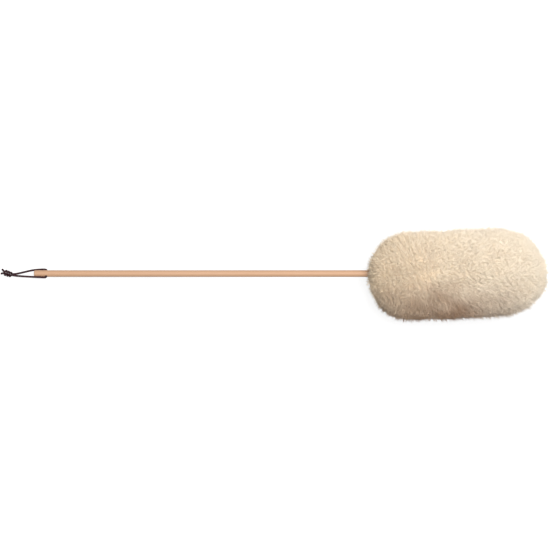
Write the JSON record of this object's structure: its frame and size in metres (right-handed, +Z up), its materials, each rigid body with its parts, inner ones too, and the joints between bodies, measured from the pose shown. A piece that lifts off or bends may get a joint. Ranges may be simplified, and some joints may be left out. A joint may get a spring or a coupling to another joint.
{
  "type": "lambswool duster",
  "caption": "Long-handled duster: a plain wooden rod with a fat rounded head of cream lambswool pile at one end and a knotted leather hanging lace through the other",
  "frame": {"origin": "on the floor below the middle of the duster's box, with the duster lying as it is put down: on the edge of its butt and the flattened underside of the wool", "axes": "+X runs from the hanging lace towards the wool head in plan, +Z is up, and the handle rises 5.3 degrees towards the head"},
  "size_m": [0.8067, 0.131, 0.1331],
  "materials": {
    "wood": "satin",
    "hide": "matte",
    "fleece": "matte",
    "staple_wire": "satin",
    "lace": "satin"
  },
  "bodies": {
    "duster": {"handle_rod": "wood", "hide_strip": "hide", "tip_patch": "hide", "strip_fleece": "fleece", "tip_fleece": "fleece", "neck_staple_upper": "staple_wire", "neck_staple_lower": "staple_wire", "end_staple_upper": "staple_wire", "end_staple_lower": "staple_wire", "tip_staple_upper": "staple_wire", "tip_staple_lower": "staple_wire"},
    "hanging_lace": {"lace_loop": "lace", "lace_knot": "lace", "lace_tail_left": "lace", "lace_tail_right": "lace"}
  },
  "joints": [
    {"name": "loop_swing", "type": "hinge", "parent": "duster", "child": "hanging_lace", "pos_m": [-0.36041, 0, 0.00653], "axis": [-0.0459, -0.866, 0.4979], "range_deg": [-150, 150]}
  ]
}
